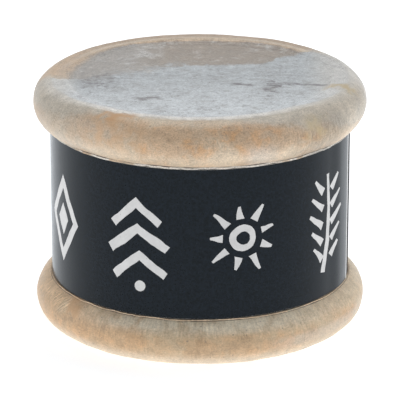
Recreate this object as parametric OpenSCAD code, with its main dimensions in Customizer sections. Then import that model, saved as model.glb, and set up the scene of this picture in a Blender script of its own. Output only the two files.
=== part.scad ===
// Two-headed rawhide shaker drum.
//
// A short tube carries a grooved bead ring on each end. A goatskin head is dried
// over each bead, with its knife-trimmed edge against the tube. A printed label is
// wrapped round the waist between the two trimmed edges, and loose seeds rattle
// inside. Millimetres, +Z up; the origin is on the axis, on the surface that the
// drum stands on. Both ends are alike, so each end's pieces are drawn once and
// mirrored.

/* [Shell] */
// Outside diameter of the tube
shell_d = 75; // [60:0.5:110]
// Thickness of the tube's wall
shell_wall = 3.5; // [2.5:0.1:5]
// Chamfer on the edges of the tube's ends
shell_chamfer = 0.4; // [0.1:0.1:0.8]
// Distance between the centres of the two bead rings
bead_spacing = 51; // [38:1:90]

/* [Bead rings] */
// Diameter of the bead ring's round section
bead_d = 11; // [9.5:0.5:16]
// How far the tube's end, on the floor of the groove, is past the bead's centre
tube_engage = 0.5; // [-1.5:0.25:2]
// Gap for glue between the tube and each side of the groove
groove_gap = 0.1; // [0.05:0.05:0.3]

/* [Heads] */
// Thickness of the dried rawhide
hide_t = 0.6; // [0.4:0.05:1.2]
// Gap between the rawhide and what it is dried onto
hide_gap = 0.05; // [0.02:0.01:0.1]
// Depth of the playing skin below the crest of the bead
skin_dip = 1.2; // [0.6:0.1:2]
// Radius of the bend from the bead into the playing skin
skin_bend = 8; // [4:0.5:12]
// Depth that is pressed flat at the crest, where the drum stands
crest_flat = 0.3; // [0.1:0.05:0.35]
// Length of the trimmed edge along the tube, from where the hide leaves the bead
trim_length = 0.25; // [0.1:0.05:3]

/* [Label] */
// Thickness of the laminated paper
label_t = 0.3; // [0.15:0.05:0.6]
// Thickness of the glue under the label
glue_t = 0.03; // [0.02:0.01:0.1]
// Gap between the label and the trimmed edge of each head
label_gap = 0.1; // [0.1:0.05:4]
// Length of the label that laps over its own start
lap_length = 6; // [4:1:25]
// Length over which the label climbs onto its own start
lap_ramp = 6; // [1:0.5:10]
// Gap under the lapped end
lap_gap = 0.05; // [0.03:0.01:0.2]
// Direction in which the lapped end shows, from +X towards +Y
seam_angle = -14; // [-180:1:180]

/* [Seeds] */
// Diameter of one seed
seed_d = 5; // [3:0.5:7]
// Gap between neighbouring seeds
seed_gap = 0.25; // [0.1:0.05:1]
// Clearance between the seeds and the skin that they lie on
seed_rest = 0.3; // [0.1:0.05:0.5]
// Share of the lower skin that the seeds cover
seed_cover_ratio = 0.8; // [0.2:0.05:1]

/* [Hidden] */
// Node names, one per piece or group of like pieces
$fn = 96;

// Greatest distance between an arc and the straight lines that stand for it
arc_error = 0.01;
// Turn from one seed to the next in a sunflower head
golden_angle = 137.508;
// Spiral pitch at which sunflower neighbours lie one unit apart
sunflower_pitch = 0.65;

shell_r = shell_d / 2;
shell_bore_r = shell_r - shell_wall;

// The bead is centred on the tube's wall
bead_r = shell_r - shell_wall / 2;
bead_section_r = bead_d / 2;
hide_in_r = bead_section_r + hide_gap;
hide_out_r = hide_in_r + hide_t;

// Levels of the bead's centres
crest_h = hide_out_r - crest_flat;
bottom_bead_z = crest_h;
top_bead_z = bottom_bead_z + bead_spacing;

// The skin leaves the bead where it meets the bend: the centres of the two arcs are
// hide_out_r + skin_bend apart, and the bend's own centre is above the skin
bend_reach = sqrt(skin_dip * (2 * (hide_out_r + skin_bend) - skin_dip));
bend_r = bead_r - bend_reach;
skin_z = hide_out_r - skin_dip;
leave_angle = asin(bend_reach / (hide_out_r + skin_bend));

// Trimmed edge, measured from the bead's centre
trim_in_r = shell_r + hide_gap;
trim_out_r = trim_in_r + hide_t;
trim_z = sqrt(pow(hide_out_r, 2) - pow(trim_out_r - bead_r, 2)) + trim_length;

// Label
label_in_r = shell_r + glue_t;
lap_in_r = label_in_r + label_t + lap_gap;
label_z = bottom_bead_z + trim_z + label_gap;
label_h = bead_spacing - 2 * (trim_z + label_gap);
lap_turn = lap_length / label_in_r * 180 / PI;
ramp_turn = lap_ramp / label_in_r * 180 / PI;
start_turn = lap_gap / label_in_r * 180 / PI;
climb_angle = seam_angle - lap_turn - ramp_turn;

// Seeds
seed_pitch = sunflower_pitch * (seed_d + seed_gap);
seed_floor_z = bottom_bead_z - skin_z + hide_t + seed_rest;
seed_floor_r = bend_r - seed_d / 2;
seed_count = floor(seed_cover_ratio * pow(seed_floor_r / seed_pitch, 2));

// Points on an arc about centre, from angle a to angle b, both ends included
function arc(centre, r, a, b) =
    let (steps = ceil(abs(b - a) / (2 * acos(1 - arc_error / r))))
    [for (i = [0:steps]) let (t = a + (b - a) * i / steps) centre + r * [cos(t), sin(t)]];

// Angle, below the horizontal, at which a circle about the bead reaches radius x
function under_angle(r, x) = -acos((x - bead_r) / r);

// Angle, above the horizontal, at which the outside of the skin is pressed flat
flat_angle = asin(crest_h / hide_out_r);

// One end of the drum is drawn about the bead's centre, with its outside up
module at_top() {
    translate([0, 0, top_bead_z]) children();
}

module at_bottom() {
    translate([0, 0, bottom_bead_z]) mirror([0, 0, 1]) children();
}

// Plain tube with chamfered ends, seated in both grooves
module shell_tube() {
    low = bottom_bead_z - tube_engage;
    high = top_bead_z + tube_engage;
    c = shell_chamfer;
    color("burlywood")
        rotate_extrude()
            polygon([
                [shell_bore_r + c, low],
                [shell_r - c, low],
                [shell_r, low + c],
                [shell_r, high - c],
                [shell_r - c, high],
                [shell_bore_r + c, high],
                [shell_bore_r, high - c],
                [shell_bore_r, low + c]
            ]);
}

// Turned ring of round section, grooved to sit on the tube's end
module bead_ring() {
    color("tan")
        rotate_extrude()
            difference() {
                translate([bead_r, 0]) circle(bead_section_r);
                translate([shell_bore_r - groove_gap, -bead_d])
                    square([shell_wall + 2 * groove_gap, bead_d + tube_engage]);
            }
}

// One skin: the sunk playing skin, the bend, the roll over the bead with its pressed
// crest, and the trimmed edge against the tube
module head() {
    bead = [bead_r, 0];
    bend = [bend_r, skin_z + skin_bend];
    outside = concat(
        [[0, skin_z]],
        arc(bend, skin_bend, -90, leave_angle - 90),
        arc(bead, hide_out_r, 90 + leave_angle, 180 - flat_angle),
        arc(bead, hide_out_r, flat_angle, under_angle(hide_out_r, trim_out_r)),
        [[trim_out_r, -trim_z]]
    );
    inside = concat(
        [[trim_in_r, -trim_z]],
        arc(bead, hide_in_r, under_angle(hide_in_r, trim_in_r), 90 + leave_angle),
        arc(bend, skin_bend + hide_t, leave_angle - 90, -90),
        [[0, skin_z - hide_t]]
    );
    color("wheat") rotate_extrude() polygon(concat(outside, inside));
}

// The label: once round the tube, then up a ramp and over its own start. It is drawn
// with the foot of the ramp on +X.
module label_wrap() {
    lap_end = ramp_turn + lap_turn;
    lap_out_r = lap_in_r + label_t;
    lap = concat(
        [[label_in_r, 0]],
        arc([0, 0], lap_in_r, ramp_turn, lap_end),
        arc([0, 0], lap_out_r, lap_end, ramp_turn),
        [[label_in_r + label_t, 0]]
    );
    color([0.14, 0.15, 0.17])
        rotate([0, 0, climb_angle])
            translate([0, 0, label_z]) {
                rotate_extrude(angle = ramp_turn + start_turn - 360)
                    translate([label_in_r, 0]) square([label_t, label_h]);
                linear_extrude(label_h) polygon(lap);
            }
}

// One layer of round seeds on the lower skin, set out like a sunflower head
module rattle_seeds() {
    color("saddlebrown")
        for (i = [0:seed_count - 1])
            rotate([0, 0, i * golden_angle])
                translate([seed_pitch * sqrt(i + 0.5), 0, seed_floor_z + seed_d / 2])
                    sphere(d = seed_d);
}

shell_tube();
at_bottom() bead_ring();  // bottom_bead_ring
at_top() bead_ring();  // top_bead_ring
at_bottom() head();  // bottom_head
at_top() head();  // top_head
label_wrap();
rattle_seeds();
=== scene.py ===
"""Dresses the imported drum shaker: rawhide heads, wrapped label with its print, floor, lights and camera."""

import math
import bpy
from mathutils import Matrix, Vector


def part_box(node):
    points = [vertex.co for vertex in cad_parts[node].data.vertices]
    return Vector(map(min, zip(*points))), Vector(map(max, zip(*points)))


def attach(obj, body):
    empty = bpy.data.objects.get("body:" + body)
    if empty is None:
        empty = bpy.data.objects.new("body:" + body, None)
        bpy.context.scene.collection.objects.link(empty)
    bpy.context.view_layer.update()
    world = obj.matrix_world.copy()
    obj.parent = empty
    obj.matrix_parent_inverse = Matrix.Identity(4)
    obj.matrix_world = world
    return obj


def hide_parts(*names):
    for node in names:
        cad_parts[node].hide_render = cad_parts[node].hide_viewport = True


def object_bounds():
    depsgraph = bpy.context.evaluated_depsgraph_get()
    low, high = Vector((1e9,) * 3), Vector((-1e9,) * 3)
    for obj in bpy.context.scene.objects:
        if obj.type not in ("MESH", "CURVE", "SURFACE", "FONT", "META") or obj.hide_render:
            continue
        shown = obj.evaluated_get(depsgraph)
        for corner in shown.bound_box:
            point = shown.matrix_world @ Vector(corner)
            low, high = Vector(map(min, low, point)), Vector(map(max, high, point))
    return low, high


bl_info = {
    "name": "Rawhide Drum Shaker",
    "version": (1, 0, 0),
    "blender": (4, 5, 0),
    "location": "View3D > Sidebar > Drum",
    "description": "Builds the rawhide heads, the printed wrap and the studio of a small drum shaker",
    "category": "Add Mesh",
}

import bmesh
import bpy
from bpy.props import FloatProperty, FloatVectorProperty, IntProperty, PointerProperty
from mathutils import Euler, Matrix, Vector, noise
from mathutils.bvhtree import BVHTree

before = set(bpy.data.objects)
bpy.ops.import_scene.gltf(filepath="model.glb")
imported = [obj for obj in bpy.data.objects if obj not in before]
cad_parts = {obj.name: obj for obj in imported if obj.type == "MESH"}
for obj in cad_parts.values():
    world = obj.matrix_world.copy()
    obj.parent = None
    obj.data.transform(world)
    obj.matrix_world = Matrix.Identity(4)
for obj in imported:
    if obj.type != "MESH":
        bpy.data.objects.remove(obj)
cad_low, cad_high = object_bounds()

MM = 0.001


def radial_span(node):
    """Smallest and largest distance of a CAD node's surface from the drum's axis, in metres."""
    radii = [v.co.xy.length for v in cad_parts[node].data.vertices]
    return min(radii), max(radii)


# What the frame says, in metres
bore_r, shell_r = radial_span("shell_tube")
bead_r = (bore_r + shell_r) / 2
bead_section_r = radial_span("top_bead_ring")[1] - bead_r
hide_out_r = radial_span("top_head")[1] - bead_r
top_bead_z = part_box("top_bead_ring")[1].z - bead_section_r
bottom_bead_z = cad_high.z - top_bead_z
crest_h = cad_high.z - top_bead_z
middle_z = cad_high.z / 2
trim_z = top_bead_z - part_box("top_head")[0].z
label_low, label_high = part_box("label_wrap")
label_in_r, label_out_r = radial_span("label_wrap")

# Image points, in the photograph's frame of W by H pixels
W, H = 400, 400
POINTS = {
    "left_edge": (32.0, 103.0),
    "right_edge": (366.3, 100.0),
    "top_edge": (200.0, 33.9),
    "bottom_edge": (200.0, 363.8),
    "lower_ring_left": (37.2, 291.0),
    "label_left": (50.0, 136.0),
    "seam": (347.0, 208.0),
    "streak_left": (146.0, 98.5),
    "streak_middle": (243.0, 84.5),
    "streak_right": (311.0, 84.8),
    "streak_low": (271.0, 90.5),
    "streak_net": (279.0, 84.0),
    "smudge_left": (99.0, 81.0),
    "bloom_back": (150.0, 54.5),
    "stain_front": (115.0, 116.0),
    "stain_side": (318.0, 127.0),
    "stain_low": (74.0, 308.0),
    "stain_left": (112.0, 133.0),
    "stain_right": (345.0, 86.5),
    "scratches": (67.5, 298.0),
}


def distance(name, description, millimetres):
    """A size that a user can change."""
    return FloatProperty(name=name, description=description, default=millimetres * MM, subtype="DISTANCE")


def colour(name, description, *default):
    """A scene-linear colour that a user can change."""
    return FloatVectorProperty(name=name, description=description, default=default, subtype="COLOR")


class DrumSizes(bpy.types.PropertyGroup):
    """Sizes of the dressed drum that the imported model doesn't give."""

    hide_t: distance("Hide thickness", "Thickness of the dried rawhide", 0.6)
    skin_dip: distance("Skin dip", "Depth of the playing skin below the crest of the bead", 1.2)
    skin_bend: distance("Skin bend", "Radius of the bend from the bead into the playing skin", 8)
    ripple: distance("Hide unevenness", "Height of the slow unevenness of the dried hide", 0.14)
    wrinkle: distance("Wrinkle height", "Height of the wrinkles on the playing skin", 0.05)
    trim_wave: distance("Trim waviness", "How far the knife strayed along the trimmed edge", 0.16)
    lip_hang: distance("Trimmed edge drop", "How far the top head's cut edge hangs past its line", 0.22)
    around: IntProperty(
        name="Steps round the drum", description="Steps of the heads round the axis",
        default=400, min=64)
    film_t: distance("Print thickness", "Thickness of the printed figures on the label", 0.02)


class DrumColours(bpy.types.PropertyGroup):
    """Colours of the dressed drum."""

    hide_tan: colour("Hide tan", "Darker parts of the top head over its bead", 0.52, 0.375, 0.25)
    hide_cream: colour("Hide cream", "Pale parts of the top head over its bead", 0.60, 0.49, 0.365)
    low_cream: colour("Bottom hide cream", "Pale parts of the bottom head", 0.575, 0.45, 0.30)
    low_tan: colour("Bottom hide tan", "Darker parts of the bottom head", 0.52, 0.355, 0.21)
    hide_ochre: colour("Hide ochre", "Blotches of both heads", 0.54, 0.325, 0.17)
    # Lighter than the hide's own grey: painted light against the shade beside the label
    grey_band_painted_light: colour("Grey band and painted light", "Grey-green band of the bottom head near the label", 0.59, 0.53, 0.42)
    hide_ash: colour("Hide ash", "Ashen border round the pale part of the skin", 0.47, 0.43, 0.365)
    # Painted sheen: a pale line along the crest of the top head
    hide_crest_sheen: colour("Crest sheen", "Painted sheen along the crest of the top head", 0.72, 0.70, 0.66)
    hide_pulled: colour("Pulled hide", "Pale cream where the hide was pulled hardest", 0.60, 0.585, 0.55)
    # Painted shadow: the colour of the crease above each trimmed edge
    crease_shadow: colour("Crease shadow", "Shadowed crease above a trimmed edge", 0.055, 0.03, 0.017)
    cut_hide: colour("Cut hide", "Fresh cut along the top head's trimmed edge", 0.86, 0.83, 0.77)
    cut_tan: colour("Cut tan", "Cut along the bottom head's trimmed edge", 0.80, 0.62, 0.44)
    skin_brown: colour("Skin brown", "Bare grey-brown part of the playing skin", 0.30, 0.262, 0.228)
    skin_pale: colour("Skin pale", "Pale blue-grey part of the playing skin", 0.45, 0.485, 0.51)
    # Partly pale pigment, partly painted sheen of the skin seen edge-on in front
    skin_front_and_sheen: colour("Skin front and sheen", "The pale part where it is lightest, in front", 0.63, 0.67, 0.70)
    skin_bloom: colour("Skin bloom", "Whitish flecks in the playing skin", 0.66, 0.68, 0.69)
    stain_yellow: colour("Yellow stain", "Yellow stain at the right end of the skin", 0.50, 0.40, 0.235)
    skin_streak: colour("Streaks", "Dark streaks in the playing skin", 0.125, 0.11, 0.12)
    label_black: colour("Label black", "Ground of the printed wrap", 0.004, 0.006, 0.010)
    tab_dark: colour("Tab dark", "Darker parts of the label's glue tab", 0.008, 0.008, 0.010)
    tab_light: colour("Tab light", "Paler parts of the label's glue tab", 0.018, 0.018, 0.020)
    label_core: colour("Label core", "White paper at the cut edges of the wrap", 0.85, 0.85, 0.84)
    print_white: colour("Print white", "Figures printed on the wrap", 0.64, 0.645, 0.65)
    print_speck: colour("Print specks", "Specks in the printed figures", 0.2, 0.19, 0.18)
    tube_light: colour("Tube wood light", "Pale growth rings of the tube", 0.62, 0.44, 0.26)
    tube_dark: colour("Tube wood dark", "Dark growth rings and pores of the tube", 0.42, 0.26, 0.13)
    # Painted shade: darkens the tube's outer face, which shows only in the gaps beside the label
    tube_gap_shade: colour("Tube gap shade", "Dark stain on the outer face of the tube", 0.012, 0.011, 0.01)
    bead_light: colour("Bead wood light", "Pale growth rings of the bead rings", 0.70, 0.53, 0.34)
    bead_dark: colour("Bead wood dark", "Dark growth rings and pores of the bead rings", 0.52, 0.35, 0.19)
    seed_dark: colour("Seed dark", "Darker streaks of the seeds", 0.10, 0.045, 0.02)
    seed_light: colour("Seed light", "Paler streaks of the seeds", 0.26, 0.13, 0.06)


# ---------------------------------------------------------------- node materials


class Field:
    """A value, vector or colour that a node gives. A sum with it adds a math node to the same material."""

    def __init__(self, shader, socket):
        self.shader = shader
        self.socket = socket

    def __add__(self, other):
        return self.shader.math("ADD", self, other)

    def __sub__(self, other):
        return self.shader.math("SUBTRACT", self, other)

    def __rsub__(self, other):
        return self.shader.math("SUBTRACT", other, self)

    def __mul__(self, other):
        return self.shader.math("MULTIPLY", self, other)

    def __truediv__(self, other):
        return self.shader.math("DIVIDE", self, other)

    def __abs__(self):
        return self.shader.math("ABSOLUTE", self)

    def step(self, low, high, bottom=0.0, top=1.0):
        """Rises smoothly from bottom to top as this goes from low to high."""
        inputs = {"Value": self, "From Min": low, "From Max": high, "To Min": bottom, "To Max": top}
        return self.shader.node("ShaderNodeMapRange", inputs, interpolation_type="SMOOTHSTEP")

    def moved(self, by):
        return self.shader.vector("ADD", self, by)

    def stretched(self, x, y, z):
        return self.shader.vector("MULTIPLY", self, (x, y, z))


class Shader:
    """The nodes of a material or a world in the making. Nearly every call adds a node and gives its field."""

    def __init__(self, owner):
        self.owner = owner
        self.colours = bpy.context.scene.drum_colours
        owner.use_nodes = True
        self.tree = owner.node_tree
        self.tree.nodes.clear()

    def plug(self, value, socket):
        """Links a field or an output to a socket, or sets the socket to a number, a place or a colour."""
        if isinstance(value, Field):
            value = value.socket
        if isinstance(value, bpy.types.NodeSocket):
            self.tree.links.new(value, socket)
        elif socket.type == "RGBA":
            socket.default_value = (*value, 1.0)
        else:
            socket.default_value = value

    def add(self, kind, inputs=(), **settings):
        """Adds a node. inputs has a value for each socket, by its name or its number."""
        made = self.tree.nodes.new(kind)
        for key, value in settings.items():
            setattr(made, key, value)
        for key, value in dict(inputs).items():
            self.plug(value, made.inputs[key])
        return made

    def node(self, kind, inputs=(), output=0, **settings):
        return Field(self, self.add(kind, inputs, **settings).outputs[output])

    def math(self, operation, *values):
        return self.node("ShaderNodeMath", enumerate(values), operation=operation)

    def largest(self, first, *others):
        for other in others:
            first = self.math("MAXIMUM", first, other)
        return first

    def vector(self, operation, first, second=(0, 0, 0)):
        return self.node("ShaderNodeVectorMath", {0: first, 1: second}, operation=operation)

    def length(self, vector):
        return self.node("ShaderNodeVectorMath", {0: vector}, "Value", operation="LENGTH")

    def scaled(self, vector, factor):
        return self.node("ShaderNodeVectorMath", {0: vector, "Scale": factor}, operation="SCALE")

    def combine(self, x, y, z):
        return self.node("ShaderNodeCombineXYZ", {0: x, 1: y, 2: z})

    def separate(self, vector):
        return [Field(self, out) for out in self.add("ShaderNodeSeparateXYZ", {0: vector}).outputs]

    def noise(self, place, scale, detail=4.0, roughness=0.55, distortion=0.0, output="Fac"):
        inputs = {"Vector": place, "Scale": scale, "Detail": detail, "Roughness": roughness,
                  "Distortion": distortion}
        return self.node("ShaderNodeTexNoise", inputs, output)

    def mix(self, share, first, second, blend="MIX"):
        inputs = {0: share, 6: first, 7: second}
        return self.node("ShaderNodeMix", inputs, 2, data_type="RGBA", blend_type=blend)

    def toned(self, shade, factor):
        """A colour made lighter or darker by a factor."""
        return self.mix(1.0, shade, self.combine(factor, factor, factor), blend="MULTIPLY")

    def curve(self, value, stops):
        """A smooth curve through (value, result) stops, both in 0 to 1."""
        made = self.add("ShaderNodeFloatCurve", {"Value": value})
        points = made.mapping.curves[0].points
        while len(points) < len(stops):
            points.new(0.5, 0.5)
        for point, stop in zip(points, stops):
            point.location = stop
        made.mapping.update()
        return Field(self, made.outputs[0])

    def millimetres(self):
        return self.scaled(self.node("ShaderNodeTexCoord", output="Object"), 1 / MM)

    def attribute(self, name):
        return self.node("ShaderNodeAttribute", output="Fac", attribute_name=name)

    def bump(self, height, distance):
        return self.node("ShaderNodeBump", {"Height": height, "Distance": distance, "Strength": 1.0})

    def seen(self):
        """1 for a ray from the camera, a reflection or glass, and 0 for the light that falls on the drum."""
        rays = self.add("ShaderNodeLightPath").outputs
        return self.largest(rays["Is Camera Ray"], rays["Is Glossy Ray"], rays["Is Transmission Ray"])

    def finish(self, **inputs):
        """Ends a material with a Principled shader. Base_Color sets its input Base Color."""
        shader = self.add("ShaderNodeBsdfPrincipled",
                          {key.replace("_", " "): value for key, value in inputs.items()})
        self.add("ShaderNodeOutputMaterial", {"Surface": shader.outputs[0]})
        return self.owner


# Far edge of the pale zone across the top skin, x and y both scaled to 0 to 1 over 100 mm
FAR_EDGE = [
    (0.0, 0.495), (0.12, 0.49), (0.14, 0.475), (0.16, 0.463), (0.175, 0.488), (0.22, 0.5), (0.26, 0.52),
    (0.3, 0.56), (0.37, 0.587), (0.43, 0.633), (0.5, 0.623), (0.6, 0.628), (0.655, 0.642), (0.68, 0.655),
    (0.7, 0.69), (0.76, 0.708), (0.82, 0.718), (1.0, 0.75),
]
# Mean distance from the axis of the edge of the bare skin, and of the pale zone's near edge, in millimetres
BARE_SKIN_R = 32.7
PALE_ZONE_R = 33.7


class HideShader(Shader):
    """Dried goatskin: tan and cream over the bead, ochre blotches, grain, pores and fine creases.

    The top head has the pale zone across its skin. x, y and reach, the distance from the axis, are in
    millimetres, with x to the right and y away from the front. turn is in degrees round the bead's section,
    from its widest part up towards the crest. beside is -1 at the left end and 1 at the right one.
    """

    def __init__(self, name, end):
        super().__init__(bpy.data.materials.new(name))
        self.top = end > 0
        self.end = end
        self.place = self.millimetres()
        self.x, self.y, z = self.separate(self.place)
        self.reach = self.length(self.place.stretched(1, 1, 0))
        height = abs(z - middle_z / MM) - (top_bead_z - middle_z) / MM
        self.turn = self.math("DEGREES", self.math("ARCTAN2", height, self.reach - bead_r / MM))
        self.beside = self.x / self.reach
        # The same place on the bead's widest circle, for patterns that run round the drum
        self.level = self.scaled(self.vector("NORMALIZE", self.place.stretched(1, 1, 0)), bead_r / MM)
        self.level_x, self.level_y = self.separate(self.level)[:2]
        self.loose = self.place.moved((13.0, 5.0, 40.0 * end))
        warp = self.noise(self.loose, 0.22, 4.0, 0.5, output="Color").moved((-0.5, -0.5, -0.5))
        self.warped = self.loose.moved(self.scaled(warp, 5.0))
        self.grain = self.noise(self.loose, 2.1, 5.0, 0.7)
        self.cloud = self.noise(self.warped, 0.32, 5.0, 0.54)
        self.patches = self.noise(self.warped, 0.11, 5.0, 0.6)
        # The bare skin inside the bead: hem is the distance outside its edge
        corner = abs(self.x).step(6.0, 18.0, 0.0, 0.85) * self.y.step(12.0, 22.0)
        self.hem = self.reach + (self.cloud * 1.2 - 0.6) - corner - BARE_SKIN_R
        self.on_skin = (self.hem / self.beside.step(-0.6, -0.9, 1.0, 2.4)).step(0.5, -0.5)
        if self.top:
            self.outline_pale_zone()

    def over_bead(self):
        """Tan and cream in slow patches, more tan round the widest part of the bead, and ochre blotches."""
        top, colours, x, y, turn = self.top, self.colours, self.x, self.y, self.turn
        band = turn.step(-28.0, 0.0) * (turn.step(66.0, 34.0) if top else turn.step(48.0, 22.0))
        left = x.step(-6.0, -20.0, 0.0, 0.15 if top else 0.25)
        if top:
            left = left * y.step(-22.0, 2.0, 0.3, 1.7)
        tan = self.patches + band * 0.16 + (self.cloud - 0.5) * 0.4 + left + y.step(12.0, 28.0, 0.0, 0.28)
        cream, plain = (colours.hide_cream, colours.hide_tan) if top else (colours.low_cream, colours.low_tan)
        shade = self.mix(tan.step(0.42, 0.74), cream, plain)
        blotch = self.noise(self.warped.moved((31.0, 7.0, 3.0)), 0.1, 4.0, 0.58)
        blotch = blotch + (self.cloud - 0.5) * 0.5 + (self.grain - 0.5) * 0.08
        blotch = blotch.step(0.47, 0.64) * (band * 0.85 + 0.15)
        strongest = x.step(-14.0, -24.0, 0.85, 0.4) if top else 0.5
        return self.mix(blotch * strongest, shade, colours.hide_ochre)

    def bottom_wear(self, shade):
        """Grey where the bottom hide was stretched beside the tube, lightened as painted light against the
        shade there, and paler and darker parts.
        """
        colours, x, turn = self.colours, self.x, self.turn
        # The grey band beside the tube, lightened as painted light against the shade there
        grey = turn.step(-18.0, -46.0, 0.0, 0.95) * self.cloud.step(0.32, 0.62, 0.35, 1.0)
        grey = grey * self.beside.step(-0.4, -0.85, 1.0, 0.15) * self.beside.step(0.4, 0.95, 1.0, 0.5)
        shade = self.mix(grey, shade, colours.grey_band_painted_light)
        shade = self.mix(turn.step(8.0, 44.0, 0.0, 0.85), shade, colours.hide_cream)
        paler = turn.step(-16.0, 4.0, 0.0, 0.3) * turn.step(32.0, 14.0) * x.step(14.0, 26.0)
        shade = self.mix(paler, shade, colours.hide_pulled)
        front = turn.step(-34.0, -20.0) * turn.step(14.0, 0.0, 0.0, 0.75)
        return self.mix(front * x.step(1.0, 8.0) * x.step(18.0, 12.0), shade, colours.low_tan)

    def top_wear(self, shade):
        """Paler in front, most of all below the widest part, and the ashen border of the pale zone."""
        x, y, turn = self.x, self.y, self.turn
        paler = x.step(9.0, 13.5) * x.step(21.0, 15.0) * y.step(-24.0, -34.0)
        shade = self.mix(paler * turn.step(8.0, -12.0, 0.06, 0.42), shade, self.colours.hide_pulled)
        border, ash = self.ashen_border()
        shade = self.mix(border, shade, ash)
        # A trace of the ash all down the left end
        trace = x.step(-16.0, -28.0, 0.0, 0.38) * y.step(3.0, -7.0) * turn.step(-56.0, -16.0)
        return self.mix(trace, shade, ash)

    def outline_pale_zone(self):
        """How far inside the pale zone's far edge and its near one a place is, and the zone's share there."""
        x = self.x
        # The far edge is most ragged and most blurred on the left
        left = x.step(2.0, -9.0) * x.step(-31.0, -25.0)
        far = self.curve(x * 0.01 + 0.5, FAR_EDGE) * 100.0 - 50.0
        ragged = (self.noise(self.place, 0.36, 8.0, 0.8) * 30.0 - 15.0) * (left * 0.7 + 0.3)
        self.inside_far = far + ragged - self.y
        share = (self.inside_far / (left * 6.0 + 0.7)).step(-0.6, 0.8)
        # The zone runs over the crest on the two sides and ends below it at the front
        self.side = abs(self.beside).step(0.62, 0.98)
        self.inside_near = self.cloud * 1.6 + PALE_ZONE_R + self.side * 3.0 - self.reach
        share = share * self.inside_near.step(-0.6, 0.8)
        self.pale = share * self.largest(self.cloud.step(0.24, 0.46, 0.78, 1.0), x.step(-20.0, -27.0))

    def ashen_border(self):
        """Share and colour of the ashen border round the pale zone, lower on the sides, and of the painted
        crest sheen.
        """
        colours, x = self.colours, self.x
        flank = self.largest(self.side, self.beside.step(-0.5, -0.9), self.beside.step(0.05, 0.8))
        lowest = flank * -58.0 + 68.0 + x.step(31.0, 37.0, 0.0, -34.0)
        share = ((self.cloud - 0.5) * 60.0 + self.turn - lowest).step(-6.0, 22.0)
        share = share * self.inside_far.step(-4.0, 2.0, 0.12, 0.9)
        # Painted sheen, a pale line along the crest just outside the zone
        crest_sheen = self.inside_near.step(1.2, 0.2) * self.inside_near.step(-3.2, -0.9)
        share = self.largest(share, crest_sheen * self.inside_far.step(-2.0, 3.0))
        crest_sheen = crest_sheen * self.side.step(0.0, 0.7, 1.0, 0.5) * x.step(10.0, 24.0, 1.0, 0.6)
        ash = self.mix(crest_sheen, colours.hide_ash, colours.hide_crest_sheen)
        # and paler where the right end was pulled over the edge
        pulled = x.step(27.0, 35.0) * self.y.step(-9.0, 1.0, 0.0, 0.9)
        return share, self.mix(pulled, ash, colours.hide_pulled)

    def pale_zone(self):
        """Pale pigment, lighter in front partly as painted sheen, with wisps, fine cracks drawn out across
        the drum, and a dark line at the far edge.
        """
        colours, x, place = self.colours, self.x, self.place
        # Lighter towards the front: partly the pigment, partly painted sheen of the skin seen edge-on
        shade = self.mix(self.y.step(6.0, -30.0), colours.skin_pale, colours.skin_front_and_sheen)
        wisps = self.noise(place, 0.6, 8.0, 0.8, 0.5)
        shade = self.mix(wisps.step(0.5, 0.34, 0.0, 0.55), shade, colours.skin_streak)
        shade = self.mix(wisps.step(0.54, 0.68, 0.0, 0.8), shade, colours.skin_bloom)
        shade = self.mix(x.step(-29.0, -35.0, 0.0, 0.75), shade, colours.hide_pulled)
        shade = self.mix(x.step(25.0, 34.0, 0.0, 0.7), shade, colours.hide_pulled)
        cracks = abs(self.noise(place.stretched(0.3, 1.0, 1.0), 0.62, 6.0, 0.62, 0.4) - 0.5).step(0.02, 0.004)
        cracks = cracks * self.noise(place, 0.14, 3.0).step(0.46, 0.6, 0.0, 0.6)
        net = self.noise(place.stretched(0.28, 1.0, 1.0), 0.85, 5.0, 0.6, 0.6)
        net = abs(net - 0.5).step(0.09, 0.025, 0.0, 0.95) * self.attribute("net")
        shade = self.mix(self.largest(cracks, net), shade, colours.skin_streak)
        verge = self.inside_far.step(1.3, 0.5) * x.step(-14.0, -9.0, 0.0, 0.3)
        return self.mix(verge, shade, colours.skin_brown)

    def bare_skin(self, shade):
        """Grey-brown skin with whitish flecks, and rings where it was pulled over the edge of the bead, with
        their shading painted in.
        """
        colours, x, y, reach = self.colours, self.x, self.y, self.reach
        pulled = self.hem.step(0.1, 0.9) * self.hem.step(2.5, 1.7) * y.step(8.0, 24.0, 0.0, 0.65)
        shade = self.mix(pulled, shade, colours.hide_cream if self.top else colours.low_cream)
        flecks = (self.noise(self.warped, 0.5, 6.0, 0.7) + self.patches * 0.6).step(0.8, 1.05)
        brown = self.mix(flecks * 0.5, colours.skin_brown, colours.skin_bloom)
        brown = self.mix(x.step(-8.0, -20.0, 0.0, 0.35), brown, colours.skin_pale)
        bloom = self.attribute("bloom") * self.grain.step(0.36, 0.6, 0.3, 1.0)
        brown = self.mix(bloom, brown, colours.skin_bloom)
        shade = self.mix(self.on_skin * 0.92, shade, brown)
        bent = self.noise(self.loose, 0.05, 1.0) * 6.0 + reach
        rings = (self.noise(self.combine(bent, 0.0, 0.0), 1.0, 3.0, 0.6) - 0.5) * 2.6
        rings = rings * reach.step(23.0, 29.0) * reach.step(36.5, 34.5)
        self.rings = rings * self.noise(self.loose, 0.12, 3.0).step(0.36, 0.5, 0.25, 1.0)
        wisps = self.noise(self.place.stretched(0.32, 1.0, 1.0), 1.7, 4.0, 0.65) - 0.5
        wisps = wisps * self.hem.step(0.5, -1.5, 0.0, 0.55)
        # The rings darken and lighten the colour: painted shade of their ridges, which the bump also gives
        return self.toned(shade, self.rings * y.step(-12.0, 4.0, 0.0, 0.42) + 1.0 + wisps)

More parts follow.
